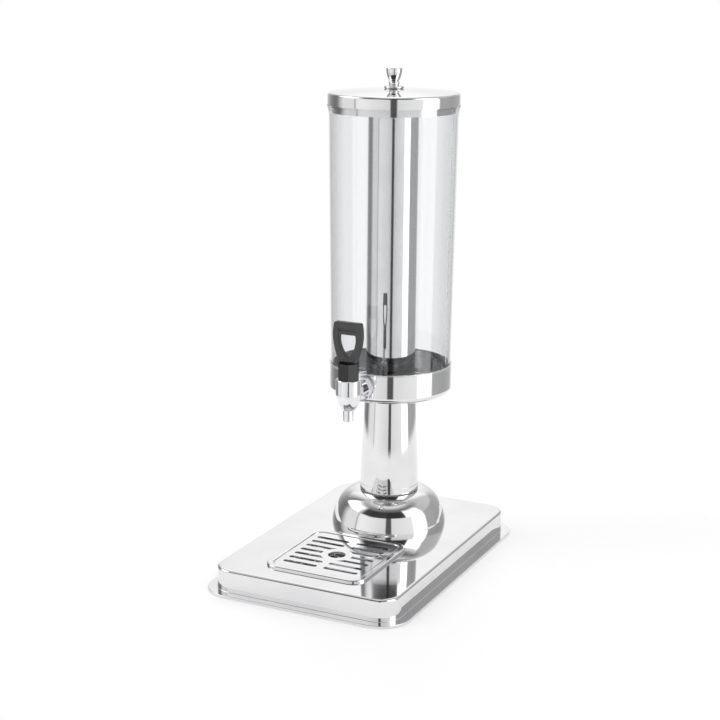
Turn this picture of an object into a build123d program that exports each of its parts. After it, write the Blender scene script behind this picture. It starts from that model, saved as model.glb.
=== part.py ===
"""A counter-top beer tower: a pressed steel base with a drip tray, a spun pedestal and a tapered
column that carry a clear tank in a steel cup, with an ice tube inside, a lift-off lid and a lever tap.

The origin is on the table under the centre of the base. +Z is up and the tap faces -Y.
"""
from build123d import *
import math
import os

# ---- driving dimensions, mm -------------------------------------------------------------------

# pressed base
BASE_WIDTH = 203.3
BASE_LENGTH = 312.4
BASE_CORNER = 23.0
BASE_TOP = 25.7
BASE_SHEET = 1.2
BASE_EDGE_RADIUS = 3.0
FLANGE_REACH = 9.9
FLANGE_TOP = 2.8
FLANGE_EDGE = 0.5
FLANGE_BEND = 0.5
FLOOR_GAP = 0.7  # the pan's rim clears the table by this much

# stiffener, feet and their studs under the base top
STIFFENER_WIDTH = 130.0
STIFFENER_LENGTH = 124.0
STIFFENER_CORNER = 10.0
STIFFENER_SHEET = 2.0
STIFFENER_DEPTH = 10.0
FOOT_INSET_X = 17.65
FOOT_INSET_Y = 19.2
FOOT_LOW_RADIUS = 9.5
FOOT_TOP_RADIUS = 7.5
FOOT_ROUND = 1.0
STUD_RADIUS = 2.5
STUD_LENGTH = 14.0
STUD_CLEARANCE = 0.05

# drip tray and grate
TRAY_Y = -70.0
TRAY_WIDTH = 112.0
TRAY_LENGTH = 119.0
TRAY_CORNER = 16.0
TRAY_BEAD_WIDTH = 7.0
TRAY_BEAD_HEIGHT = 2.8
TRAY_BEAD_ROUND = 1.8
TRAY_LEDGE = 3.0
TRAY_SHEET = 0.8
TRAY_DEPTH = 18.5
TRAY_FLOOR_ROUND = 4.0
TRAY_CLEARANCE = 1.0
GRATE_SHEET = 1.2
GRATE_CLEARANCE = 0.4
GRATE_EDGE = 0.4
GRATE_ROWS = 7
GRATE_PITCH = 12.6
GRATE_SLOT_WIDTH = 5.4
GRATE_SLOT_REACH = 42.0
GRATE_WEB = 7.4
GRATE_RING_RADIUS = 16.6
GRATE_HOLE_RADIUS = 9.2

# tower: dome, column and the rod that ties it together
TOWER_Y = 57.2
DOME_RADIUS = 61.9
DOME_HEIGHT = 37.5
DOME_FOOT_RADIUS = 32.0
DOME_FOOT_TURN = 13.3
DOME_FLANK_RADIUS = 92.0
DOME_FLANK_TURN = 8.9
DOME_SHEET = 1.2
GASKET_RADIUS = 30.4
GASKET_BORE = 20.0
GASKET_THICKNESS = 1.0
FOOT_BAND_RADIUS = 31.7
FOOT_BAND_HEIGHT = 6.2
FOOT_BORE = 20.0
PLUG_LENGTH = 8.0
PLUG_CLEARANCE = 0.1
COLUMN_LOW_RADIUS = 31.4
COLUMN_TOP_RADIUS = 27.1
COLUMN_STRAIGHT = 14.0
COLUMN_LENGTH = 100.4
COLUMN_BEND = 250.0
COLUMN_WALL = 1.5
HEAD_THICKNESS = 3.0
ROD_RADIUS = 4.0
ROD_CLEARANCE = 0.5
ROD_END_Z = 10.0
NUT_FLATS = 13.0
NUT_HEIGHT = 6.5
WASHER_RADIUS = 12.0
WASHER_THICKNESS = 1.6
THREAD_CLEARANCE = 0.02

# cup, tank and ice tube
CUP_RADIUS = 65.0
CUP_HEIGHT = 31.9
CUP_SHEET = 0.8
CUP_CORNER = 6.5
CUP_BEAD = 0.6
CUP_BEAD_HEIGHT = 1.6
CUP_GASKET_RADIUS = 57.0
CUP_GASKET_THICKNESS = 1.4
TANK_CLEARANCE = 0.5
TANK_TOP_RADIUS = 67.1
TANK_LIP_RADIUS = 69.1
TANK_HEIGHT = 302.2
TANK_LIP_BAND = 1.2
TANK_FLARE_HEIGHT = 11.0
TANK_WALL = 2.2
TANK_FLOOR = 4.0
TANK_CORNER = 6.0
FLOOR_SEAL_RADIUS = 15.0
FLOOR_SEAL_THICKNESS = 1.0
TUBE_RADIUS = 26.3
TUBE_WALL = 1.0
TUBE_DROP = 9.9
TUBE_PLUG_LENGTH = 12.0
TUBE_PLUG_FLANGE = 3.0
ROD_GRIP = 12.0
COLLAR_RADIUS = 27.9
COLLAR_HEIGHT = 2.0
COLLAR_ROUND = 0.8

# lid
LID_RADIUS = 68.7
LID_SHEET = 0.8
LID_HEIGHT = 12.2
LID_CROWN = 4.0
LID_EDGE_ROUND = 3.2
SKIRT_CLEARANCE = 0.6
SKIRT_SHEET = 0.8
SKIRT_DEPTH = 7.5
KNOB_HEIGHT = 20.9
KNOB_TOP_RADIUS = 8.3
KNOB_WAIST_RADIUS = 4.6
KNOB_BEAD_RADIUS = 5.5
KNOB_DISC_RADIUS = 10.4
KNOB_DISC_HEIGHT = 2.6
KNOB_DISH = 1.0
SCREW_RADIUS = 2.0
SCREW_HEAD_RADIUS = 3.8
SCREW_HEAD_HEIGHT = 2.4
SCREW_LENGTH = 10.0
KNOB_WASHER_RADIUS = 7.0
KNOB_WASHER_THICKNESS = 1.0

# tap
TAP_Y = -45.0
SHANK_RISE = 18.7
SHANK_RADIUS = 8.0
SHANK_BORE = 4.6
SHANK_CLEARANCE = 0.3
TAP_BODY_RADIUS = 13.1
TAP_RISE = 16.7
TAP_BARREL = 14.0
TAP_NOSE_LENGTH = 18.4
TAP_NOSE_END_RADIUS = 6.6
TAP_RIM_CHAMFER = 0.6
CHAMBER_RADIUS = 8.6
SEAT_DROP = 5.5
SEAT_RADIUS = 4.4
SPOUT_RADIUS = 5.5
SPOUT_BORE = 4.4
SPOUT_LENGTH = 11.7
SPOUT_SOCKET = 5.0
TAP_NUT_FLATS = 21.5
TAP_NUT_LENGTH = 9.0
TAP_SEAL_RADIUS = 10.4
TAP_SEAL_LENGTH = 3.2
INNER_SEAL_RADIUS = 10.9
INNER_SEAL_LENGTH = 3.5
LOCK_NUT_FLATS = 21.5
LOCK_NUT_LENGTH = 5.0
SHANK_STICKOUT = 2.0
NUT_CHAMFER = 1.2

# bonnet, stem, spring and lever
BONNET_FLATS = 20.4
BONNET_HEIGHT = 17.3
BONNET_SPIGOT_RADIUS = 9.6
BONNET_SPIGOT = 9.0
BONNET_CHAMFER = 1.0
BONNET_CORNER = 0.8
BONNET_TURN = -8.0
BONNET_ROOF = 6.0
STEM_RADIUS = 3.0
STEM_CLEARANCE = 0.08
STEM_TANG = 4.0
STEM_EYE = 1.8
STEM_COLLAR_RADIUS = 6.4
STEM_COLLAR_THICKNESS = 1.5
VALVE_DISC_RADIUS = 6.8
VALVE_DISC_THICKNESS = 3.0
VALVE_NOSE_RADIUS = 3.4
VALVE_NOSE_LENGTH = 2.0
SPRING_COIL_RADIUS = 5.2
SPRING_WIRE_RADIUS = 0.45
SPRING_TURNS = 6
PIN_RADIUS = 0.9
PIN_CLEARANCE = 0.05
LEVER_GAP = 0.3
CAM_RADIUS = 2.0
CAM_OFFSET = 3.0
LEVER_HEIGHT = 42.2
LEVER_WIDTH = 32.3
LEVER_TOP_WIDTH = 29.4
LEVER_NECK_WIDTH = 19.4
LEVER_THICKNESS = 7.0
LEVER_SETBACK = 1.0
LEVER_BAR = 12.8
LEVER_ARM = 6.7
LEVER_WIDEST = 15.2
LEVER_WEB = 3.2
LEVER_NECK = 2.2
LEVER_ROUND = 1.0
LEVER_TOP_CORNER = 2.0
LEVER_NECK_CORNER = 1.5
LEVER_WINDOW_CORNER = 1.2
LEVER_TIP_ROUND = 0.6
LEVER_GROOVE_DEPTH = 0.9
LEVER_GROOVE_HEIGHT = 2.6
LEVER_GROOVE_WIDTH = 19.0
LEVER_SWING = 45.0
LEVER_SLOT_STEPS = 4

# ---- places that follow from them -------------------------------------------------------------

SHEET_UNDERSIDE = BASE_TOP - BASE_SHEET
LEDGE_Z = BASE_TOP + TRAY_SHEET
GRATE_WIDTH = TRAY_WIDTH - 2 * TRAY_BEAD_WIDTH
GRATE_LENGTH = TRAY_LENGTH - 2 * TRAY_BEAD_WIDTH
GRATE_CORNER = TRAY_CORNER - TRAY_BEAD_WIDTH
PAN_WIDTH = GRATE_WIDTH - 2 * TRAY_LEDGE
PAN_LENGTH = GRATE_LENGTH - 2 * TRAY_LEDGE
PAN_CORNER = GRATE_CORNER - TRAY_LEDGE
DOME_TOP = BASE_TOP + DOME_HEIGHT
FOOT_Z = DOME_TOP + GASKET_THICKNESS
COLUMN_Z = FOOT_Z + FOOT_BAND_HEIGHT
HEAD_Z = COLUMN_Z + COLUMN_LENGTH
CUP_BOTTOM = HEAD_Z + HEAD_THICKNESS
CUP_RIM = CUP_BOTTOM + CUP_HEIGHT
TANK_Z = CUP_BOTTOM + CUP_SHEET + CUP_GASKET_THICKNESS
TANK_LOW_RADIUS = CUP_RADIUS - CUP_SHEET - TANK_CLEARANCE
TANK_FLOOR_Z = TANK_Z + TANK_FLOOR
TUBE_FOOT_Z = TANK_FLOOR_Z + FLOOR_SEAL_THICKNESS
TUBE_Z = TUBE_FOOT_Z + TUBE_PLUG_FLANGE
TANK_RIM = TANK_Z + TANK_HEIGHT
TUBE_TOP = TANK_RIM - TUBE_DROP
FLARE_Z = TANK_RIM - TANK_FLARE_HEIGHT
LID_EDGE_Z = TANK_RIM + LID_HEIGHT
LID_CROWN_Z = LID_EDGE_Z + LID_CROWN
TOP_Z = LID_CROWN_Z + KNOB_HEIGHT
SHANK_Z = CUP_BOTTOM + SHANK_RISE
TAP_TOP = SHANK_Z + TAP_RISE
TAP_NOSE_TOP = TAP_TOP - TAP_BARREL
TAP_NOSE_END = TAP_NOSE_TOP - TAP_NOSE_LENGTH
SPOUT_END = TAP_NOSE_END - SPOUT_LENGTH
SEAT_Z = SHANK_Z - SEAT_DROP
BONNET_TOP = TAP_TOP + BONNET_HEIGHT
LEVER_TOP = BONNET_TOP + LEVER_HEIGHT
BONNET_CEILING = BONNET_TOP - BONNET_ROOF
DISC_TOP = SEAT_Z + VALVE_DISC_THICKNESS
COLLAR_Z = DISC_TOP + STEM_COLLAR_THICKNESS
PIN_Z = BONNET_TOP + LEVER_GAP + CAM_RADIUS
STEM_LIFT = CAM_OFFSET * math.radians(LEVER_SWING)


# ---- small helpers ----------------------------------------------------------------------------

def slab(width, length, corner, low, high, y=0.0):
    """A block with rounded corners, standing between two heights."""
    return extrude(Pos(0, y, low) * RectangleRounded(width, length, corner), high - low)


def disc(radius, low, high, y=TOWER_Y):
    """An upright cylinder between two heights."""
    return extrude(Pos(0, y, low) * Circle(radius), high - low)


def ring(outer, inner, low, high, y=TOWER_Y):
    """An upright tube between two heights."""
    return disc(outer, low, high, y) - disc(inner, low, high, y)


def turned(*edges, y=TOWER_Y):
    """A solid turned about an upright axis from a closed outline of (radius, height) edges."""
    outline = Plane.XZ * make_face(Curve() + list(edges))
    return Pos(0, y, 0) * revolve(outline, Axis.Z)


def dome_arc(radius, edge_z, rise):
    """The arc of a shallow dome, or of a dish if it falls, from its edge in to the axis."""
    sphere = (radius ** 2 + rise ** 2) / (2 * abs(rise))
    half = math.sqrt(sphere ** 2 - radius ** 2 / 4) - (sphere - abs(rise))
    middle = (radius / 2, edge_z + math.copysign(half, rise))
    return ThreePointArc((radius, edge_z), middle, (0, edge_z + rise))


def bar(section, front, back, z):
    """A section drawn looking along the tap's shank, run from its front end to its back end."""
    return Pos(0, back, z) * extrude(Plane.XZ * section, back - front)


def round_bar(radius, front, back, z):
    """A cylinder that lies along Y."""
    return bar(Circle(radius), front, back, z)


def hexagon(across_flats):
    """A hexagon with one flat facing up and one facing down."""
    return RegularPolygon(across_flats / 2, 6, major_radius=False)


def edges_at(shape, z):
    """The edges that lie in the level plane at z."""
    return shape.edges().filter_by_position(Axis.Z, z - 0.01, z + 0.01)


# ---- base -------------------------------------------------------------------------------------

def base_skin(inset, low):
    """The pan's wall and flange as one full block, drawn in by the sheet's thickness for its inside."""
    top = BASE_TOP - inset
    shelf = FLANGE_TOP - inset
    reach = 2 * FLANGE_REACH
    wall = slab(BASE_WIDTH - 2 * inset, BASE_LENGTH - 2 * inset, BASE_CORNER - inset, low, top)
    flange = slab(BASE_WIDTH + reach - 2 * inset, BASE_LENGTH + reach - 2 * inset,
                  BASE_CORNER + FLANGE_REACH - inset, low, shelf)
    block = fillet(edges_at(wall + flange, top), BASE_EDGE_RADIUS - inset)
    if inset < FLANGE_EDGE:
        block = fillet(shelf_face(block, shelf).outer_wire().edges(), FLANGE_EDGE - inset)
    return fillet(shelf_face(block, shelf).inner_wires()[0].edges(), FLANGE_BEND + inset)


def shelf_face(block, shelf):
    """The flange's level top, a ring round the wall."""
    return block.faces().filter_by(GeomType.PLANE).filter_by_position(Axis.Z, shelf - 0.01, shelf + 0.01)[0]


def base_shell():
    """The pressed pan, with the opening for the drip tray and the hole for the tie rod."""
    pan = base_skin(0, FLOOR_GAP) - base_skin(BASE_SHEET, FLOOR_GAP - BASE_SHEET)
    gap = 2 * (TRAY_SHEET + TRAY_CLEARANCE)
    opening = slab(PAN_WIDTH + gap, PAN_LENGTH + gap, PAN_CORNER + gap / 2, SHEET_UNDERSIDE - 1,
                   BASE_TOP + 1, TRAY_Y)
    return pan - opening - disc(ROD_RADIUS + ROD_CLEARANCE, SHEET_UNDERSIDE - 1, BASE_TOP + 1)


def base_stiffener():
    """A pressed plate with turned-down sides, welded under the base top below the tower."""
    low = SHEET_UNDERSIDE - STIFFENER_DEPTH
    plate = slab(STIFFENER_WIDTH, STIFFENER_LENGTH, STIFFENER_CORNER, low, SHEET_UNDERSIDE, TOWER_Y)
    wall = 2 * STIFFENER_SHEET
    inside = slab(STIFFENER_WIDTH - wall, STIFFENER_LENGTH - wall, STIFFENER_CORNER - STIFFENER_SHEET,
                  low, SHEET_UNDERSIDE - STIFFENER_SHEET, TOWER_Y)
    return plate - inside - disc(ROD_RADIUS + ROD_CLEARANCE, low, SHEET_UNDERSIDE)


def at_feet(piece):
    """Four copies of a piece, one at each foot."""
    side = BASE_WIDTH / 2 - FOOT_INSET_X
    end = BASE_LENGTH / 2 - FOOT_INSET_Y
    return Compound(children=[Pos(sx * side, sy * end, 0) * piece for sx in (-1, 1) for sy in (-1, 1)])


def rubber_feet():
    """Tapered rubber feet, each pushed onto its stud until it meets the underside of the top."""
    foot = Pos(0, 0, SHEET_UNDERSIDE / 2) * Cone(FOOT_LOW_RADIUS, FOOT_TOP_RADIUS, SHEET_UNDERSIDE)
    foot = fillet(edges_at(foot, 0), FOOT_ROUND)
    socket = disc(STUD_RADIUS + STUD_CLEARANCE, SHEET_UNDERSIDE - STUD_LENGTH - STUD_RADIUS / 2,
                  SHEET_UNDERSIDE, 0)
    return at_feet(foot - socket)


def foot_studs():
    """Studs welded to the underside of the base top."""
    return at_feet(disc(STUD_RADIUS, SHEET_UNDERSIDE - STUD_LENGTH, SHEET_UNDERSIDE, 0))


# ---- drip tray --------------------------------------------------------------------------------

def drip_tray():
    """A pressed tray: a raised bead that rests on the base, a ledge for the grate and a deep pan."""
    bead_top = BASE_TOP + TRAY_BEAD_HEIGHT
    floor = BASE_TOP - TRAY_DEPTH
    bead = slab(TRAY_WIDTH, TRAY_LENGTH, TRAY_CORNER, BASE_TOP, bead_top, TRAY_Y)
    bead -= slab(GRATE_WIDTH, GRATE_LENGTH, GRATE_CORNER, LEDGE_Z, bead_top, TRAY_Y)
    bead = fillet(edges_at(bead, bead_top), TRAY_BEAD_ROUND)
    skin = 2 * TRAY_SHEET
    pan = slab(PAN_WIDTH + skin, PAN_LENGTH + skin, PAN_CORNER + TRAY_SHEET, floor - TRAY_SHEET,
               LEDGE_Z, TRAY_Y)
    pan = fillet(edges_at(pan, floor - TRAY_SHEET), TRAY_FLOOR_ROUND)
    inside = slab(PAN_WIDTH, PAN_LENGTH, PAN_CORNER, floor, bead_top, TRAY_Y)
    inside = fillet(edges_at(inside, floor), TRAY_FLOOR_ROUND - TRAY_SHEET)
    return bead + pan - inside


def grate_slots():
    """Two columns of round-ended slots, cut short round the finger hole."""
    length = GRATE_SLOT_REACH - GRATE_WEB / 2
    middle = (GRATE_SLOT_REACH + GRATE_WEB / 2) / 2
    slots = Sketch()
    for row in range(GRATE_ROWS):
        y = (row - (GRATE_ROWS - 1) / 2) * GRATE_PITCH
        for side in (-1, 1):
            slots += Pos(side * middle, y) * SlotOverall(length, GRATE_SLOT_WIDTH)
    return slots - Circle(GRATE_RING_RADIUS)


def drip_grate():
    """The slotted plate that lies on the tray's ledge."""
    inset = 2 * GRATE_CLEARANCE
    plate = slab(GRATE_WIDTH - inset, GRATE_LENGTH - inset, GRATE_CORNER - GRATE_CLEARANCE, LEDGE_Z,
                 LEDGE_Z + GRATE_SHEET, TRAY_Y)
    plate = fillet(edges_at(plate, LEDGE_Z + GRATE_SHEET), GRATE_EDGE)
    holes = grate_slots() + Circle(GRATE_HOLE_RADIUS)
    return plate - extrude(Pos(0, TRAY_Y, LEDGE_Z) * holes, GRATE_SHEET)


# ---- tower ------------------------------------------------------------------------------------

def dome_side(inset):
    """The dome's side: a foot, a flatter flank and a shoulder, drawn in by the sheet for its inside."""
    foot = JernArc((DOME_RADIUS - inset, BASE_TOP), (0, 1), DOME_FOOT_RADIUS - inset, DOME_FOOT_TURN)
    flank = JernArc(foot @ 1, foot % 1, DOME_FLANK_RADIUS - inset, DOME_FLANK_TURN)
    turn = DOME_FOOT_TURN + DOME_FLANK_TURN
    left = DOME_TOP - inset - (flank @ 1).Y
    shoulder = JernArc(flank @ 1, flank % 1, left / (1 - math.sin(math.radians(turn))), 90 - turn)
    return [foot, flank, shoulder]


def pedestal_dome():
    """A spun dome of sheet, closed by a flat top that the column stands on."""
    outside = dome_side(0)
    inside = dome_side(DOME_SHEET)
    hole = ROD_RADIUS + ROD_CLEARANCE
    inner_top = DOME_TOP - DOME_SHEET
    return turned(
        *outside,
        Line(outside[-1] @ 1, (hole, DOME_TOP)),
        Line((hole, DOME_TOP), (hole, inner_top)),
        Line((hole, inner_top), inside[-1] @ 1),
        *inside,
        Line((DOME_RADIUS - DOME_SHEET, BASE_TOP), (DOME_RADIUS, BASE_TOP)),
    )


def column_side(inset):
    """The column's side: straight at the bottom, then a long taper, drawn in by the wall."""
    low, top = COLUMN_LOW_RADIUS - inset, COLUMN_TOP_RADIUS - inset
    return FilletPolyline((low, COLUMN_Z), (low, COLUMN_Z + COLUMN_STRAIGHT), (top, HEAD_Z),
                          radius=COLUMN_BEND - inset)


def column_tube():
    """The tapered tube of the column."""
    low, top = COLUMN_LOW_RADIUS - COLUMN_WALL, COLUMN_TOP_RADIUS - COLUMN_WALL
    return turned(
        *column_side(0).edges(), *column_side(COLUMN_WALL).edges(),
        Line((COLUMN_LOW_RADIUS, COLUMN_Z), (low, COLUMN_Z)),
        Line((COLUMN_TOP_RADIUS, HEAD_Z), (top, HEAD_Z)),
    )


def column_foot():
    """A turned ring that shows as a band under the column and centres it from inside."""
    plug = COLUMN_LOW_RADIUS - COLUMN_WALL - PLUG_CLEARANCE
    band = disc(FOOT_BAND_RADIUS, FOOT_Z, COLUMN_Z) + disc(plug, COLUMN_Z, COLUMN_Z + PLUG_LENGTH)
    return band - disc(FOOT_BORE, FOOT_Z, COLUMN_Z + PLUG_LENGTH)


def column_head():
    """A turned disc on top of the column, with a plug that centres it in the tube."""
    plug = COLUMN_TOP_RADIUS - COLUMN_WALL - PLUG_CLEARANCE
    head = disc(COLUMN_TOP_RADIUS, HEAD_Z, CUP_BOTTOM) + disc(plug, HEAD_Z - PLUG_LENGTH, HEAD_Z)
    return head - disc(ROD_RADIUS + ROD_CLEARANCE, HEAD_Z - PLUG_LENGTH, CUP_BOTTOM)


def column_gasket():
    """The thin rubber ring between the column's foot and the dome."""
    return ring(GASKET_RADIUS, GASKET_BORE, DOME_TOP, FOOT_Z)


def tie_rod():
    """The rod that holds base, dome, column, cup, tank and ice tube together."""
    return disc(ROD_RADIUS, ROD_END_Z, TUBE_FOOT_Z + ROD_GRIP)


def tie_rod_washer():
    """The washer under the stiffener."""
    top = SHEET_UNDERSIDE - STIFFENER_SHEET
    return ring(WASHER_RADIUS, ROD_RADIUS + ROD_CLEARANCE, top - WASHER_THICKNESS, top)


def tie_rod_nut():
    """The nut at the rod's lower end."""
    top = SHEET_UNDERSIDE - STIFFENER_SHEET - WASHER_THICKNESS
    nut = extrude(Pos(0, TOWER_Y, top - NUT_HEIGHT) * hexagon(NUT_FLATS), NUT_HEIGHT)
    return nut - disc(ROD_RADIUS + THREAD_CLEARANCE, top - NUT_HEIGHT, top)


# ---- cup, tank and ice tube -------------------------------------------------------------------

def cup_block(inset, top):
    """The cup's outside as one full block, drawn in by the sheet's thickness for its inside."""
    block = disc(CUP_RADIUS - inset, CUP_BOTTOM + inset, top)
    return fillet(edges_at(block, CUP_BOTTOM + inset), CUP_CORNER - inset)


def tank_cup():
    """The deep-drawn cup, with a small bead round its rim and holes for the rod and the tap."""
    bead = disc(CUP_RADIUS + CUP_BEAD, CUP_RIM - CUP_BEAD_HEIGHT, CUP_RIM)
    bead = fillet(bead.edges(), CUP_BEAD - 0.05)
    cup = cup_block(0, CUP_RIM) + bead - cup_block(CUP_SHEET, CUP_RIM)
    cup -= disc(ROD_RADIUS + ROD_CLEARANCE, CUP_BOTTOM, CUP_BOTTOM + CUP_SHEET)
    return cup - round_bar(SHANK_RADIUS + SHANK_CLEARANCE, TOWER_Y - 2 * CUP_RADIUS, TOWER_Y, SHANK_Z)


def tank_side(inset):
    """The tank's side: drafted outwards all the way up, then flared into the lip."""
    low, top = (TANK_LOW_RADIUS - inset, TANK_Z), (TANK_TOP_RADIUS - inset, FLARE_Z)
    draft = (top[0] - low[0], top[1] - low[1])
    lip = (TANK_LIP_RADIUS - inset, TANK_RIM - TANK_LIP_BAND)
    return [Line(low, top), TangentArc(top, lip, tangent=draft), Line(lip, (lip[0], TANK_RIM))]


def tank_block(inset, low):
    """The tank's outside as one full block, or its cavity when drawn in by the wall."""
    side = tank_side(inset)
    block = turned(
        *side,
        Line((TANK_LIP_RADIUS - inset, TANK_RIM), (0, TANK_RIM)),
        Line((0, TANK_RIM), (0, TANK_Z)),
        Line((0, TANK_Z), (TANK_LOW_RADIUS - inset, TANK_Z)),
    )
    block -= disc(CUP_RADIUS, TANK_Z - 1, low)
    return fillet(edges_at(block, low), TANK_CORNER - inset)


def tank():
    """The clear tank, with holes for the rod and the tap's shank."""
    shell = tank_block(0, TANK_Z) - tank_block(TANK_WALL, TANK_FLOOR_Z)
    shell -= disc(ROD_RADIUS + ROD_CLEARANCE, TANK_Z, TANK_FLOOR_Z)
    return shell - round_bar(SHANK_RADIUS + SHANK_CLEARANCE, TOWER_Y - 2 * CUP_RADIUS, TOWER_Y, SHANK_Z)


def cup_gasket():
    """The flat ring that the tank stands on."""
    return ring(CUP_GASKET_RADIUS, 2 * ROD_RADIUS, TANK_Z - CUP_GASKET_THICKNESS, TANK_Z)


def tank_floor_seal():
    """The seal between the tank's floor and the ice tube's foot."""
    return ring(FLOOR_SEAL_RADIUS, ROD_RADIUS + ROD_CLEARANCE, TANK_FLOOR_Z, TUBE_FOOT_Z)


def ice_tube_base():
    """A turned plug that closes the ice tube and screws down on the tie rod."""
    plug = disc(TUBE_RADIUS, TUBE_FOOT_Z, TUBE_Z)
    plug += disc(TUBE_RADIUS - TUBE_WALL - PLUG_CLEARANCE, TUBE_Z, TUBE_Z + TUBE_PLUG_LENGTH)
    return plug - disc(ROD_RADIUS + THREAD_CLEARANCE, TUBE_FOOT_Z, TUBE_FOOT_Z + ROD_GRIP)


def ice_tube():
    """The steel tube that is filled with ice."""
    return ring(TUBE_RADIUS, TUBE_RADIUS - TUBE_WALL, TUBE_Z, TUBE_TOP)


def ice_tube_collar():
    """The collar round the ice tube's mouth."""
    collar = ring(COLLAR_RADIUS, TUBE_RADIUS, TUBE_TOP - COLLAR_HEIGHT, TUBE_TOP)
    outer = collar.faces().filter_by(GeomType.CYLINDER).sort_by(SortBy.AREA)[-1]
    return fillet(outer.edges().filter_by(GeomType.CIRCLE), COLLAR_ROUND)


# ---- lid --------------------------------------------------------------------------------------

def lid_block(inset):
    """The lid's outside as one full block, drawn in by the sheet's thickness for its inside."""
    edge = LID_RADIUS - inset
    rise = LID_CROWN * (edge / LID_RADIUS) ** 2
    edge_z = LID_CROWN_Z - inset - rise
    block = turned(
        Line((0, TANK_RIM), (edge, TANK_RIM)),
        Line((edge, TANK_RIM), (edge, edge_z)),
        dome_arc(edge, edge_z, rise),
        Line((0, edge_z + rise), (0, TANK_RIM)),
    )
    return fillet(edges_at(block, edge_z), LID_EDGE_ROUND - inset)


def lid_shell():
    """The spun lid: a low dome with a straight band that stands on the tank's lip."""
    hole = disc(SCREW_RADIUS + STUD_CLEARANCE, LID_EDGE_Z, LID_CROWN_Z)
    return lid_block(0) - lid_block(LID_SHEET) - hole


def lid_skirt():
    """The ring under the lid that centres it in the tank's mouth."""
    outer = TANK_TOP_RADIUS - TANK_WALL - SKIRT_CLEARANCE
    low = TANK_RIM - SKIRT_DEPTH
    skirt = ring(outer, outer - SKIRT_SHEET, low, LID_CROWN_Z)
    return skirt & (lid_block(LID_SHEET) + disc(outer, low, TANK_RIM))


def lid_knob():
    """The turned knob: a disc foot, a small bead, a waist and a tulip top with a shallow dish."""
    foot = LID_CROWN_Z + KNOB_DISC_HEIGHT
    edge = KNOB_DISC_HEIGHT / 2
    neck = foot + 1.0
    bead = neck + 1.4
    waist = neck + 3.6
    rim = TOP_Z - 0.9
    lip = KNOB_TOP_RADIUS - 0.9
    knob = turned(
        Line((0, LID_CROWN_Z), (KNOB_DISC_RADIUS - edge, LID_CROWN_Z)),
        ThreePointArc((KNOB_DISC_RADIUS - edge, LID_CROWN_Z), (KNOB_DISC_RADIUS, LID_CROWN_Z + edge),
                      (KNOB_DISC_RADIUS - edge, foot)),
        Line((KNOB_DISC_RADIUS - edge, foot), (KNOB_WAIST_RADIUS + 0.3, neck)),
        ThreePointArc((KNOB_WAIST_RADIUS + 0.3, neck), (KNOB_BEAD_RADIUS, bead), (KNOB_WAIST_RADIUS, waist)),
        ThreePointArc((KNOB_WAIST_RADIUS, waist),
                      ((KNOB_WAIST_RADIUS + KNOB_TOP_RADIUS) / 2 + 1.1, (waist + rim) / 2 + 0.4),
                      (KNOB_TOP_RADIUS, rim)),
        ThreePointArc((KNOB_TOP_RADIUS, rim), (KNOB_TOP_RADIUS - 0.26, TOP_Z - 0.26), (lip, TOP_Z)),
        dome_arc(lip, TOP_Z, -KNOB_DISH),
        Line((0, TOP_Z - KNOB_DISH), (0, LID_CROWN_Z)),
    )
    return knob - disc(SCREW_RADIUS + THREAD_CLEARANCE, LID_CROWN_Z, LID_CROWN_Z + SCREW_LENGTH + 1)


def knob_washer():
    """The washer between the screw's head and the lid."""
    top = LID_CROWN_Z - LID_SHEET
    return ring(KNOB_WASHER_RADIUS, SCREW_RADIUS + STUD_CLEARANCE, top - KNOB_WASHER_THICKNESS,
                LID_CROWN_Z) & lid_block(LID_SHEET)


def knob_screw():
    """The screw that holds the knob from inside the lid."""
    seat = LID_CROWN_Z - LID_SHEET - KNOB_WASHER_THICKNESS
    head = disc(SCREW_HEAD_RADIUS, seat - SCREW_HEAD_HEIGHT, seat)
    head = fillet(edges_at(head, seat - SCREW_HEAD_HEIGHT), SCREW_HEAD_HEIGHT / 2)
    return head + disc(SCREW_RADIUS, seat, LID_CROWN_Z + SCREW_LENGTH)


# ---- tap --------------------------------------------------------------------------------------

def tap_nose():
    """The outside of the valve body: a straight barrel over a long rounded nose."""
    shoulder = TAP_TOP - TAP_RIM_CHAMFER
    return turned(
        Line((0, TAP_NOSE_END), (TAP_NOSE_END_RADIUS, TAP_NOSE_END)),
        TangentArc((TAP_BODY_RADIUS, TAP_NOSE_TOP), (TAP_NOSE_END_RADIUS, TAP_NOSE_END), tangent=(0, -1)),
        Line((TAP_BODY_RADIUS, TAP_NOSE_TOP), (TAP_BODY_RADIUS, shoulder)),
        Line((TAP_BODY_RADIUS, shoulder), (TAP_BODY_RADIUS - TAP_RIM_CHAMFER, TAP_TOP)),
        Line((TAP_BODY_RADIUS - TAP_RIM_CHAMFER, TAP_TOP), (0, TAP_TOP)),
        Line((0, TAP_TOP), (0, TAP_NOSE_END)),
        y=TAP_Y,
    )


def shank_end():
    """Where the shank ends inside the tank, past its lock nut."""
    return lock_nut_front() + LOCK_NUT_LENGTH + SHANK_STICKOUT


def tap_body():
    """The cast valve body with its shank, bored for the valve and for the flow from the tank."""
    body = tap_nose() + round_bar(SHANK_RADIUS, TAP_Y, shank_end(), SHANK_Z)
    body -= disc(BONNET_SPIGOT_RADIUS + THREAD_CLEARANCE, TAP_TOP - BONNET_SPIGOT, TAP_TOP, TAP_Y)
    body -= disc(CHAMBER_RADIUS, SEAT_Z, TAP_TOP - BONNET_SPIGOT, TAP_Y)
    body -= disc(SEAT_RADIUS, TAP_NOSE_END, SEAT_Z, TAP_Y)
    body -= disc(SPOUT_RADIUS + THREAD_CLEARANCE, TAP_NOSE_END, TAP_NOSE_END + SPOUT_SOCKET, TAP_Y)
    return body - round_bar(SHANK_BORE, TAP_Y, shank_end(), SHANK_Z)


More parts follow.
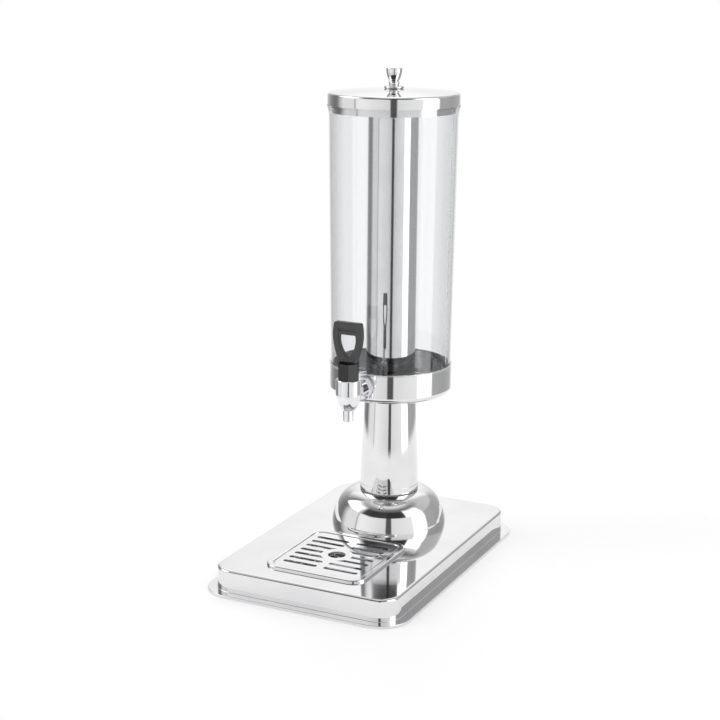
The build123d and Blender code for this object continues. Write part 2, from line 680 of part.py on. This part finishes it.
def tap_spout():
    """The spout tube pressed up into the nose."""
    return ring(SPOUT_RADIUS, SPOUT_BORE, SPOUT_END, TAP_NOSE_END + SPOUT_SOCKET, TAP_Y)


def cup_front():
    """The cup's outer wall on the tap's centre line."""
    return TOWER_Y - CUP_RADIUS


def lock_nut_front():
    """The flat back of the inner seal, which the lock nut is tightened against."""
    height = (SHANK_Z - TANK_Z) / (FLARE_Z - TANK_Z)
    wall = TANK_LOW_RADIUS + (TANK_TOP_RADIUS - TANK_LOW_RADIUS) * height - TANK_WALL
    return TOWER_Y - wall + INNER_SEAL_LENGTH


def chamfered_nut(flats, front, back):
    """A hexagonal nut on the shank, its corners turned off at both ends."""
    nut = bar(hexagon(flats), front, back, SHANK_Z)
    corner = flats / math.sqrt(3)
    blank = round_bar(corner, front, back, SHANK_Z)
    blank = chamfer(blank.edges().filter_by(GeomType.CIRCLE), NUT_CHAMFER)
    return (nut & blank) - round_bar(SHANK_RADIUS + THREAD_CLEARANCE, front, back, SHANK_Z)


def tap_nut():
    """The nut on the shank outside the cup."""
    back = cup_front() - TAP_SEAL_LENGTH
    return chamfered_nut(TAP_NUT_FLATS, back - TAP_NUT_LENGTH, back)


def tap_outer_seal():
    """The rubber washer outside, hollowed to the cup's wall."""
    front = cup_front() - TAP_SEAL_LENGTH
    seal = round_bar(TAP_SEAL_RADIUS, front, TOWER_Y - CUP_RADIUS / 2, SHANK_Z)
    seal -= round_bar(SHANK_RADIUS + THREAD_CLEARANCE, front, TOWER_Y, SHANK_Z)
    return seal - disc(CUP_RADIUS, CUP_BOTTOM, CUP_RIM)


def tap_inner_seal():
    """The rubber washer inside, shaped to the tank's wall."""
    seal = round_bar(INNER_SEAL_RADIUS, TOWER_Y - CUP_RADIUS, lock_nut_front(), SHANK_Z)
    seal -= round_bar(SHANK_RADIUS + THREAD_CLEARANCE, TOWER_Y - CUP_RADIUS, TOWER_Y, SHANK_Z)
    return seal & tank_block(TANK_WALL, TANK_FLOOR_Z)


def tap_lock_nut():
    """The nut on the shank inside the tank."""
    return chamfered_nut(LOCK_NUT_FLATS, lock_nut_front(), lock_nut_front() + LOCK_NUT_LENGTH)


def tap_bonnet():
    """The six-sided bonnet, hollow for the spring, with a bored roof that guides the stem."""
    section = hexagon(BONNET_FLATS)
    section = fillet(section.vertices(), BONNET_CORNER)
    head = extrude(Pos(0, TAP_Y, TAP_TOP) * Rot(0, 0, BONNET_TURN) * section, BONNET_TOP - TAP_TOP)
    corner = BONNET_FLATS / math.sqrt(3)
    blank = disc(corner, TAP_TOP, BONNET_TOP, TAP_Y)
    head &= chamfer(edges_at(blank, BONNET_TOP), BONNET_CHAMFER)
    head += disc(BONNET_SPIGOT_RADIUS, TAP_TOP - BONNET_SPIGOT, TAP_TOP, TAP_Y)
    head -= disc(CHAMBER_RADIUS - 1, TAP_TOP - BONNET_SPIGOT, BONNET_CEILING, TAP_Y)
    return head - disc(STEM_RADIUS + STEM_CLEARANCE, BONNET_CEILING, BONNET_TOP, TAP_Y)


def valve_stem():
    """The stem: a collar for the spring, a round shaft and a flat tang with the pin's eye."""
    low = BONNET_TOP - STEM_LIFT - LEVER_GAP
    shaft = disc(STEM_RADIUS, DISC_TOP, low, TAP_Y) + disc(STEM_COLLAR_RADIUS, DISC_TOP, COLLAR_Z, TAP_Y)
    tang = Pos(0, TAP_Y, (low + PIN_Z) / 2) * Box(STEM_TANG, 2 * STEM_EYE, PIN_Z - low)
    tang += pin_blank(STEM_TANG, STEM_EYE)
    tang &= disc(STEM_RADIUS, low, PIN_Z + STEM_EYE, TAP_Y)
    return shaft + tang - pin_blank(STEM_TANG, PIN_RADIUS)


def pin_blank(length, radius):
    """A cylinder along X on the lever's axis."""
    return Pos(0, TAP_Y, PIN_Z) * Rot(0, 90, 0) * Cylinder(radius, length)


def valve_disc():
    """The silicone disc that sits on the seat, with a nose that points into the outlet."""
    plug = disc(VALVE_DISC_RADIUS, SEAT_Z, DISC_TOP, TAP_Y)
    nose = disc(VALVE_NOSE_RADIUS, SEAT_Z - VALVE_NOSE_LENGTH, SEAT_Z, TAP_Y)
    return plug + fillet(edges_at(nose, SEAT_Z - VALVE_NOSE_LENGTH), VALVE_NOSE_LENGTH / 2)


def valve_spring():
    """The closing spring, from the stem's collar to the bonnet's ceiling."""
    low = COLLAR_Z + SPRING_WIRE_RADIUS
    height = BONNET_CEILING - COLLAR_Z - 2 * SPRING_WIRE_RADIUS
    path = Helix(height / SPRING_TURNS, height, SPRING_COIL_RADIUS)
    wire = sweep(Plane(path @ 0, z_dir=path % 0) * Circle(SPRING_WIRE_RADIUS), path, is_frenet=True)
    return Pos(0, TAP_Y, low) * wire


def handle_pin():
    """The pin through the lever's two cheeks and the stem's eye."""
    return pin_blank(LEVER_NECK_WIDTH - 2 * LEVER_GAP, PIN_RADIUS)


def lever_half_outline():
    """The right-hand side of the D, from the middle of its foot up to the middle of its top."""
    foot = BONNET_TOP + LEVER_GAP
    neck = foot + LEVER_NECK
    widest = LEVER_TOP - LEVER_WIDEST
    narrow = LEVER_NECK_WIDTH / 2
    wide = LEVER_WIDTH / 2
    top = LEVER_TOP_WIDTH / 2
    return [
        Line((0, foot), (narrow, foot)),
        Line((narrow, foot), (narrow, neck)),
        ThreePointArc((narrow, neck), (wide - 1.9, (neck + widest) / 2), (wide, widest)),
        ThreePointArc((wide, widest), (wide - 0.35, LEVER_TOP - LEVER_BAR / 2), (top, LEVER_TOP)),
        Line((top, LEVER_TOP), (0, LEVER_TOP)),
    ]


def lever_half_window():
    """The right-hand side of the D's window, pointed at the bottom."""
    low = PIN_Z + LEVER_WEB
    top = LEVER_TOP - LEVER_BAR
    side = LEVER_WIDTH / 2 - LEVER_ARM
    return [
        ThreePointArc((0, low), (side - 2.5, (low + top) / 2 - 3.4), (side, top - 5.4)),
        Line((side, top - 5.4), (side - 0.3, top)),
        Line((side - 0.3, top), (0, top)),
    ]


def both_halves(edges):
    """The face inside an outline given as its right-hand half."""
    half = Curve() + edges
    return make_face(half + mirror(half, Plane.YZ))


def corners_at(face, height):
    """The corners of a face, left and right, at a height above the outline's zero."""
    return face.vertices().filter_by_position(Axis.Y, height - 0.01, height + 0.01)


def lever_face():
    """The lever seen from the front: a D with softened corners and a pointed window."""
    outline = both_halves(lever_half_outline())
    outline = fillet(corners_at(outline, LEVER_TOP), LEVER_TOP_CORNER)
    outline = fillet(corners_at(outline, BONNET_TOP + LEVER_GAP + LEVER_NECK), LEVER_NECK_CORNER)
    window = both_halves(lever_half_window())
    window = fillet(corners_at(window, LEVER_TOP - LEVER_BAR), LEVER_WINDOW_CORNER)
    window = fillet(corners_at(window, PIN_Z + LEVER_WEB), LEVER_TIP_ROUND)
    return outline - window


def tap_handle():
    """The D-shaped lever, with the cam under its foot and the slot that straddles the stem's tang."""
    back = TAP_Y + LEVER_THICKNESS / 2 - LEVER_SETBACK
    lever = Pos(0, back, 0) * extrude(Plane.XZ * lever_face(), LEVER_THICKNESS)
    lever = fillet(lever.faces().filter_by(Axis.Y).edges(), LEVER_ROUND)
    return lever + lever_foot() - lever_cuts()


def lever_foot():
    """The foot's cam: round in front, flat behind, so that it climbs the bonnet as the lever tilts."""
    low = BONNET_TOP + LEVER_GAP
    cam = Pos(0, TAP_Y - CAM_OFFSET, PIN_Z) * Rot(0, 90, 0) * Cylinder(CAM_RADIUS, LEVER_NECK_WIDTH)
    depth = CAM_OFFSET + LEVER_THICKNESS / 2
    heel = Box(LEVER_NECK_WIDTH, depth, CAM_RADIUS + LEVER_WEB / 2)
    heel = Pos(0, TAP_Y - CAM_OFFSET + depth / 2, low + (CAM_RADIUS + LEVER_WEB / 2) / 2) * heel
    return cam + heel


def tang_blank(width, reach, turn):
    """The room that the tang takes below the pin, turned about the pin as the lever sees it."""
    length = 2 * CAM_RADIUS + LEVER_THICKNESS
    return Pos(0, TAP_Y, PIN_Z) * Rot(turn, 0, 0) * Pos(0, 0, -length / 2) * Box(width, 2 * reach, length)


def lever_cuts():
    """The slot that the tang sweeps as the lever tilts, the pin's bore and the groove in the grip."""
    reach = STEM_EYE + LEVER_GAP
    width = STEM_TANG + 2 * STEM_CLEARANCE
    slot = pin_blank(width, reach)
    for step in range(LEVER_SLOT_STEPS + 1):
        turn = LEVER_SWING * step / LEVER_SLOT_STEPS
        slot += tang_blank(width, reach, -turn)
    bore = pin_blank(LEVER_WIDTH, PIN_RADIUS + PIN_CLEARANCE)
    front = TAP_Y - LEVER_SETBACK - LEVER_THICKNESS / 2
    groove = Pos(0, front, LEVER_TOP - LEVER_BAR * 0.62) * Box(LEVER_GROOVE_WIDTH, 2 * LEVER_GROOVE_DEPTH,
                                                              LEVER_GROOVE_HEIGHT)
    return slot + bore + groove


# ---- write the pieces -------------------------------------------------------------------------

PIECES = [
    base_shell, base_stiffener, foot_studs, rubber_feet, drip_tray, drip_grate,
    pedestal_dome, column_gasket, column_foot, column_tube, column_head,
    tie_rod, tie_rod_washer, tie_rod_nut,
    tank_cup, cup_gasket, tank, tank_floor_seal, ice_tube_base, ice_tube, ice_tube_collar,
    lid_shell, lid_skirt, lid_knob, knob_washer, knob_screw,
    tap_body, tap_spout, tap_nut, tap_outer_seal, tap_inner_seal, tap_lock_nut, tap_bonnet,
    valve_stem, valve_disc, valve_spring, handle_pin, tap_handle,
]


def main():
    os.makedirs("parts", exist_ok=True)
    for make in PIECES:
        export_step(make(), f"parts/{make.__name__}.step")
    print("lever pin at", round(PIN_Z, 3), "stem lift", round(STEM_LIFT, 3))


main()
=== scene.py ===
"""Looks of the counter-top beer tower: polished steel, a clear tank, a black lever, and a pale studio.

Lengths are in metres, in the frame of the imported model: +Z up, the tap towards -Y, the table at zero.
"""

import math

import bpy
from mathutils import Matrix, Vector

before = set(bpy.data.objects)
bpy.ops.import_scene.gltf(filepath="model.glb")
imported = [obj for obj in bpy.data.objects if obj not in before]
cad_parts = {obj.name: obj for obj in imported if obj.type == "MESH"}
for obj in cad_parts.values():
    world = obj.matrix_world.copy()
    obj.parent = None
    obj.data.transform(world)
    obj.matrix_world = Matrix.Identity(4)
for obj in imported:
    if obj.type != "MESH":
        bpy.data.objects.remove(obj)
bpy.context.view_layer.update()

# ---- the camera -------------------------------------------------------------------------------

EYE = (0.68318, -1.43955, 0.61982)
RIGHT = (0.8924, 0.4512, 0.003)
UP = (-0.1139, 0.2187, 0.9691)
SENSOR = 36.0  # millimetres, as is the lens
LENS = 79.0
SHIFT = (0.0409, 0.0058)
FAR_CLIP = 50.0

# ---- the steel and the light that it shows ----------------------------------------------------

STEEL_SHARE = 0.80  # the part of the light that the polished steel gives back
STEEL_BRIGHT = (0.80, 0.80, 0.805, 1)
STEEL_DULL = (0.76, 0.76, 0.77, 1)
CLEAR_TINT = (0.915, 0.92, 0.925, 1)
CLEAR_IOR = 1.49
AXIS_TOWER = (0.0, 0.0572)


def camera():
    """The camera of the photograph, as a place, a right-hand side and an up side."""
    eye, right, up = Vector(EYE), Vector(RIGHT).normalized(), Vector(UP)
    back = right.cross(up).normalized()
    up = back.cross(right)
    data = bpy.data.cameras.new("camera")
    data.sensor_width = SENSOR
    data.lens = LENS
    data.shift_x, data.shift_y = SHIFT
    data.clip_end = FAR_CLIP
    made = bpy.data.objects.new("camera", data)
    bpy.context.scene.collection.objects.link(made)
    made.matrix_world = Matrix((
        (right.x, up.x, back.x, eye.x),
        (right.y, up.y, back.y, eye.y),
        (right.z, up.z, back.z, eye.z),
        (0, 0, 0, 1),
    ))
    bpy.context.scene.camera = made


# ---- node trees -------------------------------------------------------------------------------

class Value:
    """An output of a node that can stand in a sum."""

    def __init__(self, net, socket):
        self.net = net
        self.socket = socket

    def __add__(self, other):
        return self.net.sum("ADD", self, other)

    def __rsub__(self, other):
        return self.net.sum("SUBTRACT", other, self)

    def __mul__(self, other):
        return self.net.sum("MULTIPLY", self, other)

    def __truediv__(self, other):
        return self.net.sum("DIVIDE", self, other)


class Net:
    """A node tree, and the one way in which nodes come into it."""

    def __init__(self, tree):
        self.tree = tree

    def node(self, kind, settings=None, inputs=None, out=0):
        """A node with its settings first and then its sockets, given as values or as links."""
        made = self.tree.nodes.new(kind)
        for name, value in (settings or {}).items():
            if name == "stops":
                self.stops(made.color_ramp, value)
            else:
                setattr(made, name, value)
        for name, value in (inputs or {}).items():
            if isinstance(value, Value):
                self.tree.links.new(value.socket, made.inputs[name])
            else:
                made.inputs[name].default_value = value
        return Value(self, made.outputs[out]) if made.outputs else made

    def stops(self, ramp, stops):
        """The stops of a ramp, as (place, grey) pairs."""
        while len(ramp.elements) > 1:
            ramp.elements.remove(ramp.elements[-1])
        for index, (place, grey) in enumerate(stops):
            element = ramp.elements[0] if index == 0 else ramp.elements.new(place)
            element.position = place
            element.color = (grey, grey, grey, 1)

    def sum(self, operation, *values):
        """A Math node on numbers or links."""
        return self.node("ShaderNodeMath", {"operation": operation}, dict(enumerate(values)))

    def ramp(self, value, low, high):
        """0 below low, 1 above high, and a soft step between them."""
        return self.node("ShaderNodeMapRange", {"interpolation_type": "SMOOTHSTEP", "clamp": True},
                         {"Value": value, "From Min": low, "From Max": high})

    def mix(self, first, second, share):
        """first where share is 0 and second where it is 1, for numbers."""
        return self.node("ShaderNodeMix", {"data_type": "FLOAT"}, {"Factor": share, "A": first, "B": second})

    def tint(self, first, second, share):
        """first where share is 0 and second where it is 1, for colours."""
        made = self.tree.nodes.new("ShaderNodeMix")
        made.data_type = "RGBA"
        for index, value in ((0, share), (6, first), (7, second)):
            if isinstance(value, Value):
                self.tree.links.new(value.socket, made.inputs[index])
            else:
                made.inputs[index].default_value = value
        return Value(self, made.outputs[2])

    def place(self):
        """The point on the piece, in its own coordinates."""
        return self.node("ShaderNodeTexCoord", out="Object")

    def noise(self, scale, detail=3.0, roughness=0.5, stretch=(1, 1, 1)):
        """Soft noise. A larger stretch along an axis makes it finer that way."""
        where = self.node("ShaderNodeMapping", None, {"Vector": self.place(), "Scale": stretch})
        return self.node("ShaderNodeTexNoise", None,
                         {"Vector": where, "Scale": scale, "Detail": detail, "Roughness": roughness})

    def bump(self, height, strength, distance):
        """The normal of a surface that rises and falls by height."""
        return self.node("ShaderNodeBump", None,
                         {"Height": height, "Strength": strength, "Distance": distance})


def material(name, build, **constants):
    """A material with one Principled shader. build gives what changes over the surface."""
    made = bpy.data.materials.new(name)
    made.use_nodes = True
    net = Net(made.node_tree)
    shader = made.node_tree.nodes["Principled BSDF"]
    for key, value in constants.items():
        shader.inputs[key.replace("_", " ")].default_value = value
    for key, value in build(net).items():
        made.node_tree.links.new(value.socket, shader.inputs[key])
    return made


# ---- finishes ---------------------------------------------------------------------------------

def grey(level):
    """A colour without a hue."""
    return (level, level, level, 1)


def spun_steel(net):
    """Mirror polish on a spun part: faint turning rings round the tower's axis and hair scratches."""
    rings = net.noise(1.0, 4.0, 0.6, stretch=(2, 2, 2600))
    cloud = net.noise(38.0, 3.0)
    smear = net.noise(240.0, 2.0, 0.6, stretch=(1, 1, 0.2))
    return {
        "Base Color": net.tint(STEEL_BRIGHT, STEEL_DULL, net.ramp(cloud, 0.35, 0.75)),
        "Roughness": net.mix(0.022, 0.055, net.ramp(smear * 0.6 + rings * 0.4, 0.35, 0.7)),
    }


def pressed_steel(net):
    """Mirror polish on pressed sheet: a slight waviness and hair scratches along the length."""
    cloud = net.noise(22.0, 3.0)
    hair = net.noise(60.0, 4.0, 0.65, stretch=(22, 0.8, 22))
    wave = net.noise(9.0, 1.0)
    return {
        "Base Color": net.tint(STEEL_BRIGHT, STEEL_DULL, net.ramp(cloud, 0.35, 0.75)),
        "Roughness": net.mix(0.03, 0.08, net.ramp(hair, 0.4, 0.75)),
        "Normal": net.bump(wave, 0.05, 0.0008),
    }


def satin_steel(net):
    """Brushed steel, its grain along the length."""
    grain = net.noise(90.0, 5.0, 0.7, stretch=(30, 1, 30))
    return {
        "Base Color": net.tint((0.74, 0.74, 0.75, 1), (0.66, 0.66, 0.67, 1), grain),
        "Roughness": net.mix(0.16, 0.34, net.ramp(grain, 0.3, 0.7)),
        "Normal": net.bump(grain, 0.12, 0.0001),
    }


def cast_chrome(net):
    """Chrome on a casting: bright, with a slight orange peel."""
    peel = net.noise(420.0, 2.0)
    cloud = net.noise(120.0, 2.0)
    return {
        "Base Color": net.tint((0.84, 0.84, 0.86, 1), (0.78, 0.78, 0.80, 1), net.ramp(cloud, 0.4, 0.8)),
        "Roughness": net.mix(0.03, 0.07, cloud),
        "Normal": net.bump(peel, 0.06, 0.0001),
    }


def clear_plastic(net):
    """The tank's clear moulding, with the faint waves that moulding leaves."""
    wave = net.noise(16.0, 1.0, stretch=(1, 1, 0.25))
    return {"Normal": net.bump(wave, 0.05, 0.0006)}


def lever_plastic(net):
    """Black moulded plastic with a fine spark-eroded grain, worn a little smoother in patches."""
    grain = net.noise(2600.0, 2.0)
    cloud = net.noise(70.0, 4.0)
    return {
        "Base Color": net.tint(grey(0.034), grey(0.060), cloud),
        "Roughness": net.mix(0.32, 0.46, net.ramp(cloud, 0.3, 0.75)),
        "Normal": net.bump(grain, 0.14, 0.00006),
    }


def bonnet_plastic(net):
    """Black plastic from a polished mould: glossy, with faint flow marks and hair scratches."""
    cloud = net.noise(60.0, 3.0)
    hair = net.noise(300.0, 3.0, 0.6, stretch=(1, 1, 6))
    return {
        "Base Color": net.tint(grey(0.006), grey(0.012), cloud),
        "Roughness": net.mix(0.10, 0.20, net.ramp(hair, 0.35, 0.75)),
        "Normal": net.bump(cloud, 0.05, 0.0003),
    }


def black_rubber(net):
    """Black rubber, matt and slightly dusty."""
    dust = net.noise(160.0, 4.0)
    return {
        "Base Color": net.tint(grey(0.018), grey(0.045), net.ramp(dust, 0.4, 0.8)),
        "Roughness": net.mix(0.55, 0.8, dust),
        "Normal": net.bump(net.noise(1400.0, 2.0), 0.2, 0.0001),
    }


def milky_silicone(net):
    """Translucent silicone, a little cloudy."""
    cloud = net.noise(180.0, 3.0)
    return {
        "Base Color": net.tint((0.78, 0.79, 0.78, 1), (0.70, 0.71, 0.70, 1), cloud),
        "Roughness": net.mix(0.35, 0.55, cloud),
    }


def finishes():
    """Every CAD node gets its finish."""
    spun = material("spun_steel", spun_steel, Metallic=1.0)
    pressed = material("pressed_steel", pressed_steel, Metallic=1.0)
    satin = material("satin_steel", satin_steel, Metallic=1.0)
    chrome = material("cast_chrome", cast_chrome, Metallic=1.0)
    clear = material("clear_plastic", clear_plastic, Base_Color=CLEAR_TINT, Roughness=0.0, IOR=CLEAR_IOR,
                     Transmission_Weight=1.0)
    lever = material("lever_plastic", lever_plastic)
    bonnet = material("bonnet_plastic", bonnet_plastic, Specular_IOR_Level=0.5)
    rubber = material("black_rubber", black_rubber)
    silicone = material("milky_silicone", milky_silicone, Transmission_Weight=0.3)
    worn = {
        spun: "pedestal_dome column_foot column_tube column_head tank_cup ice_tube ice_tube_collar lid_shell "
              "lid_skirt lid_knob",
        pressed: "base_shell drip_tray drip_grate",
        satin: "base_stiffener foot_studs tie_rod tie_rod_washer tie_rod_nut ice_tube_base knob_screw "
               "knob_washer valve_stem valve_spring handle_pin",
        chrome: "tap_body tap_spout tap_nut tap_lock_nut",
        clear: "tank",
        lever: "tap_handle",
        bonnet: "tap_bonnet",
        rubber: "rubber_feet",
        silicone: "column_gasket tap_outer_seal cup_gasket tank_floor_seal tap_inner_seal valve_disc",
    }
    for finish, names in worn.items():
        for name in names.split():
            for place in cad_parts[name].material_slots:
                place.material = finish


# ---- the studio -------------------------------------------------------------------------------

def shown(level):
    """The light that the steel turns into this 8-bit grey."""
    share = level / 255
    linear = ((share + 0.055) / 1.055) ** 2.4 if share > 0.04045 else share / 12.92
    return linear / STEEL_SHARE


def round_table(*stops):
    """Stops of (degrees clockwise from the camera, 8-bit grey) as places on a ramp."""
    return [((angle + 180) / 360, shown(level)) for angle, level in stops]


# What the steel mirrors all round, from level sight lines up to steep ones. The first two tables differ
# only at the back, which level faces mirror: the lid's top the horizon, and the base's top what is above it.
SIDES = (
    (-154, 175), (-140, 140), (-124, 112), (-114, 118), (-105, 187), (-97, 222), (-73, 222), (-70, 160),
    (-67, 232), (-57, 236), (-30, 224), (-6.5, 212), (-5, 84), (5, 80), (6.5, 214), (30, 224), (49, 229),
    (54, 255), (83, 255), (87, 165), (120, 158), (150, 170),
)
HORIZON = round_table((-180, 231), (-166, 214), *SIDES, (163, 214), (180, 231))
AT_EYE_LEVEL = round_table((-180, 244), (-166, 222), *SIDES, (163, 222), (180, 244))
ABOVE = round_table(
    (-180, 252), (-160, 240), (-150, 195), (-135, 120), (-129, 150), (-126, 255), (-77, 255), (-70, 190),
    (-62, 70), (-40, 55), (-8, 62), (0, 50), (30, 55), (38, 75), (42, 255), (83, 255), (88, 185), (150, 195),
    (160, 240), (180, 252),
)
OVERHEAD = round_table(
    (-180, 215), (-120, 180), (-60, 130), (0, 110), (50, 110), (90, 125), (150, 195), (180, 215),
)
CEILING = 222

# Degrees above the horizon between which one table gives way to the next.
EYE_LEVEL_RISE = (9, 16)
ABOVE_RISE = (24, 29)
OVERHEAD_RISE = (48, 60)
CEILING_RISE = (60, 80)

EVEN_LIGHT = 0.80  # what lights matt pieces from all round
SOFTBOX_GAIN = 0.8  # the softboxes are this much brighter than white, which only the dark plastic shows
SOFTBOX_START = 0.9  # from this share of white on, a place in a table counts as a softbox


def studio():
    """White to the camera and through the tank, an even light on matt pieces, softboxes to a mirror."""
    world = bpy.data.worlds.new("studio")
    bpy.context.scene.world = world
    world.use_nodes = True
    world.cycles.sampling_method = "NONE"
    net = Net(world.node_tree)
    away = net.node("ShaderNodeTexCoord", out="Generated")

    def along(axis):
        return net.node("ShaderNodeVectorMath", {"operation": "DOT_PRODUCT"}, {0: away, 1: axis}, out="Value")

    towards = Vector((EYE[0] - AXIS_TOWER[0], EYE[1] - AXIS_TOWER[1], 0)).normalized()
    side = Vector((-towards.y, towards.x, 0))
    turn = net.sum("ARCTAN2", along(side), along(towards)) / (2 * math.pi) + 0.5
    rise = net.sum("ARCSINE", along((0, 0, 1))) * (180 / math.pi)

    def band(stops):
        return net.node("ShaderNodeValToRGB", {"stops": stops}, {"Fac": turn})

    mirrored = net.mix(band(HORIZON), band(AT_EYE_LEVEL), net.ramp(rise, *EYE_LEVEL_RISE))
    mirrored = net.mix(mirrored, band(ABOVE), net.ramp(rise, *ABOVE_RISE))
    mirrored = net.mix(mirrored, band(OVERHEAD), net.ramp(rise, *OVERHEAD_RISE))
    mirrored = net.mix(mirrored, shown(CEILING), net.ramp(rise, *CEILING_RISE))
    mirrored = mirrored * (net.ramp(mirrored, SOFTBOX_START * shown(255), shown(255)) * SOFTBOX_GAIN + 1)

    def ray(kind):
        return net.node("ShaderNodeLightPath", out=kind)

    reflected = net.sum("MINIMUM", ray("Glossy Depth"), 1)
    plain = net.sum("MAXIMUM", ray("Is Camera Ray"), ray("Is Transmission Ray") * (1 - reflected))
    level = net.mix(EVEN_LIGHT, mirrored, reflected * (1 - ray("Is Diffuse Ray")))
    level = net.mix(level, 1.0, plain)
    background = world.node_tree.nodes["Background"]
    net.tree.links.new(level.socket, background.inputs["Strength"])
    background.inputs["Color"].default_value = (1, 1, 1, 1)


# ---- the floor and the lamps --------------------------------------------------------------------

FLOOR_RADIUS = 0.62
FLOOR_STEPS = 96
FLOOR_FADE = (0.34, 0.60)  # the floor turns clear between these distances from the tower's axis
FLOOR_IN_STEEL = 0.50  # in the steel it stays whole as far as this
FLOOR_SHARE = 0.86  # the part of the light that it gives back
FLOOR_LIFT = 0.25  # a faint light of its own, so that it reads as white paper
LAMP_AIM = (*AXIS_TOWER, 0.2)


def floor():
    """A round of pale floor that takes the tower's soft shadow and shows in the steel."""
    x, y = AXIS_TOWER
    turns = [2 * math.pi * i / FLOOR_STEPS for i in range(FLOOR_STEPS)]
    ring = [(x + FLOOR_RADIUS * math.cos(turn), y + FLOOR_RADIUS * math.sin(turn), 0.0) for turn in turns]
    mesh = bpy.data.meshes.new("floor")
    mesh.from_pydata(ring, [], [list(range(FLOOR_STEPS))])
    made = bpy.data.objects.new("floor", mesh)
    bpy.context.scene.collection.objects.link(made)
    finish = bpy.data.materials.new("floor")
    finish.use_nodes = True
    net = Net(finish.node_tree)
    shader = finish.node_tree.nodes["Principled BSDF"]
    shader.inputs["Roughness"].default_value = 0.9
    shader.inputs["Specular IOR Level"].default_value = 0.0
    shader.inputs["Base Color"].default_value = grey(FLOOR_SHARE)
    shader.inputs["Emission Color"].default_value = (1, 1, 1, 1)
    seen, mirrored, through = (net.node("ShaderNodeLightPath", out=f"Is {kind} Ray")
                               for kind in ("Camera", "Glossy", "Transmission"))
    lift = net.sum("MINIMUM", seen + mirrored + through, 1) * FLOOR_LIFT
    net.tree.links.new(lift.socket, shader.inputs["Emission Strength"])
    along = net.node("ShaderNodeVectorMath", {"operation": "DISTANCE"},
                     {0: net.place(), 1: (*AXIS_TOWER, 0)}, out="Value")
    clear = net.node("ShaderNodeBsdfTransparent")
    start = net.mix(FLOOR_FADE[0], FLOOR_IN_STEEL, mirrored)
    faded = net.node("ShaderNodeMixShader", None, {0: net.ramp(along, start, FLOOR_FADE[1]), 2: clear})
    net.tree.links.new(shader.outputs[0], faded.socket.node.inputs[1])
    output = finish.node_tree.nodes["Material Output"]
    net.tree.links.new(faded.socket, output.inputs["Surface"])
    mesh.materials.append(finish)


def softbox(name, place, size, watts):
    """A large lamp that faces the tower. It lights matt pieces; the steel shows the studio instead."""
    data = bpy.data.lights.new(name, "AREA")
    data.shape = "SQUARE"
    data.size = size
    data.energy = watts
    made = bpy.data.objects.new(name, data)
    bpy.context.scene.collection.objects.link(made)
    aim = Vector(LAMP_AIM) - Vector(place)
    made.matrix_world = Matrix.Translation(place) @ aim.to_track_quat("-Z", "Y").to_matrix().to_4x4()
    made.visible_glossy = False
    made.visible_camera = False
    made.visible_transmission = False


def lights():
    """Two weak lamps for the shadow and for the matt pieces."""
    softbox("softbox_left", (-1.5, -1.0, 1.5), 1.0, 6.0)
    softbox("softbox_back", (-0.6, 1.6, 1.9), 1.2, 6.0)


def light_paths():
    """Enough bounces for light to find its way out of the tank's floor and between the mirrors."""
    paths = bpy.context.scene.cycles
    paths.max_bounces = 32
    paths.transmission_bounces = 24
    paths.glossy_bounces = 16
    paths.transparent_max_bounces = 16


# ---- the whole scene --------------------------------------------------------------------------

camera()
finishes()
studio()
floor()
lights()
bpy.context.scene.view_settings.view_transform = "Standard"
light_paths()
